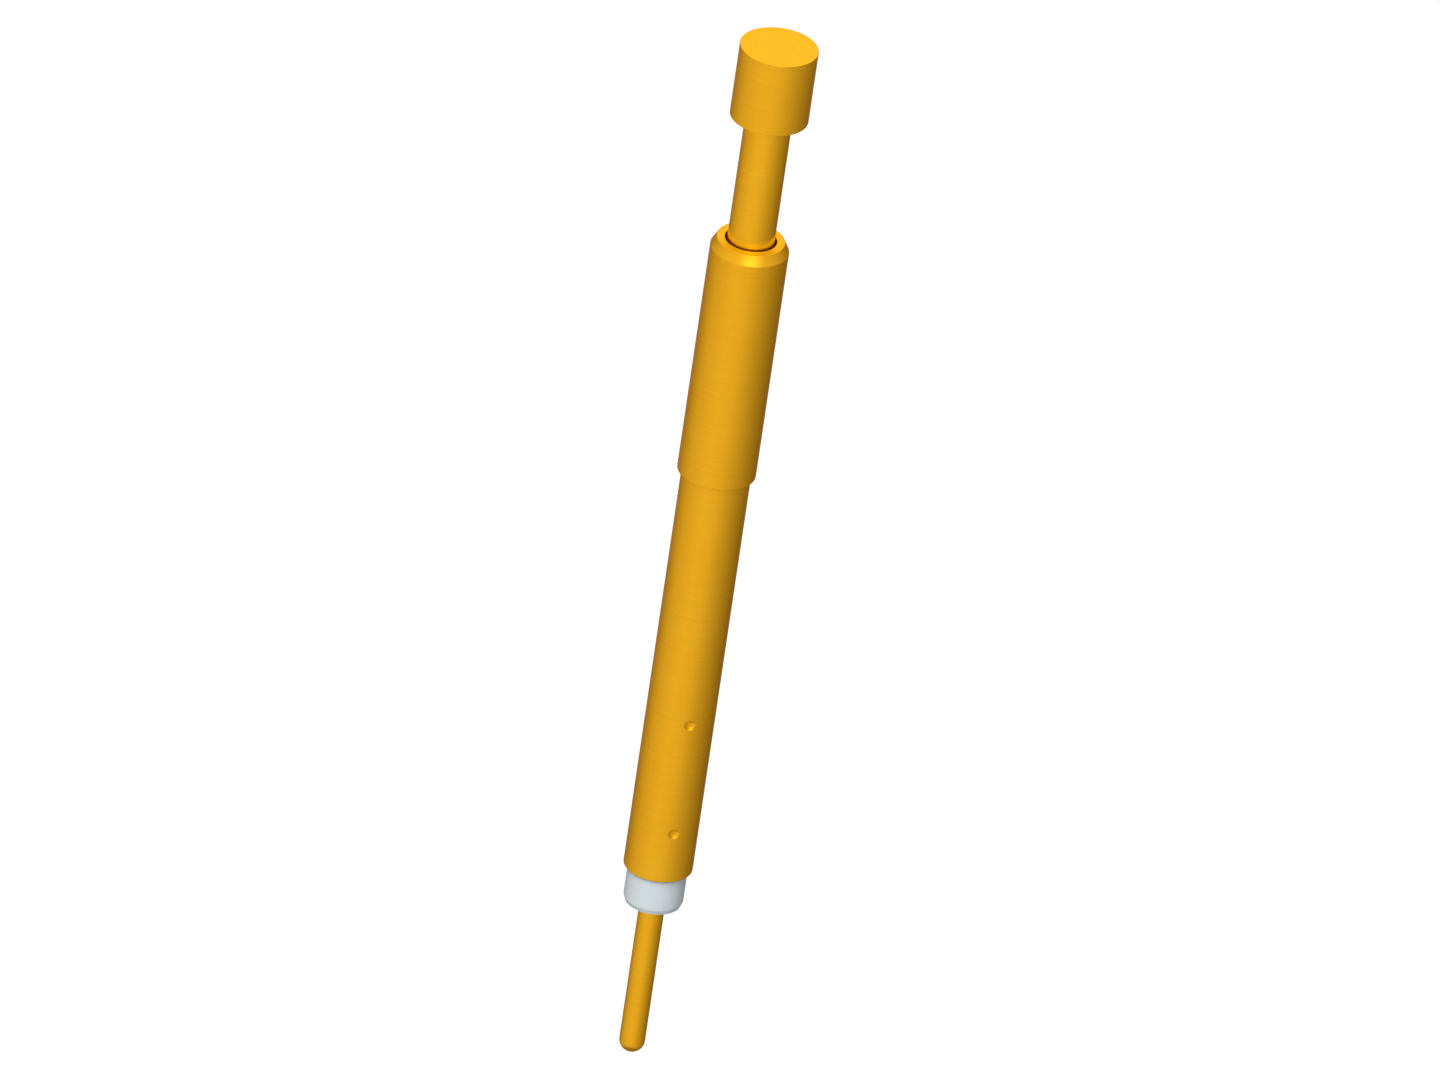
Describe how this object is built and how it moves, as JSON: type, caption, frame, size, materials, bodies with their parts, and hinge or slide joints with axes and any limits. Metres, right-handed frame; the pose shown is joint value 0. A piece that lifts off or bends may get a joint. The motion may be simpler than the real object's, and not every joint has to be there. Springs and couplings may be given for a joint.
{
  "type": "pogo pin",
  "caption": "Spring contact probe with a flat-headed sliding plunger, a collared and crimped barrel, an insulated tail pin and a switching contact inside.",
  "frame": {"origin": "on the axis, in the plane of the shoulder under the collar, where the probe stops when it is pushed into its receptacle", "axes": "+Z runs along the axis from the tail pin to the plunger's head. The probe is round, so X and Y follow only the crimp dents: the first dent lies 72 degrees from +X towards -Y."},
  "size_m": [0.0026, 0.0026, 0.0391],
  "materials": {
    "gold_plating": "satin",
    "white_insulator": "matte",
    "spring_steel": "satin"
  },
  "bodies": {
    "barrel": {"barrel": "gold_plating", "tail_insulator": "white_insulator", "inner_insulator": "white_insulator", "tail_pin": "gold_plating"},
    "spring": {"main_spring": "spring_steel"},
    "plunger": {"plunger": "gold_plating", "stop_bush": "gold_plating"}
  },
  "joints": [
    {"name": "plunger_turn", "type": "hinge", "parent": "barrel", "child": "spring", "pos_m": [0, 0, 0], "axis": [0, 0, 1], "continuous": true},
    {"name": "plunger_slide", "type": "slide", "parent": "spring", "child": "plunger", "axis": [0, 0, -1], "range_m": [0, 0.0043], "stiffness_N_per_m": 270, "deforming": ["main_spring"]}
  ]
}
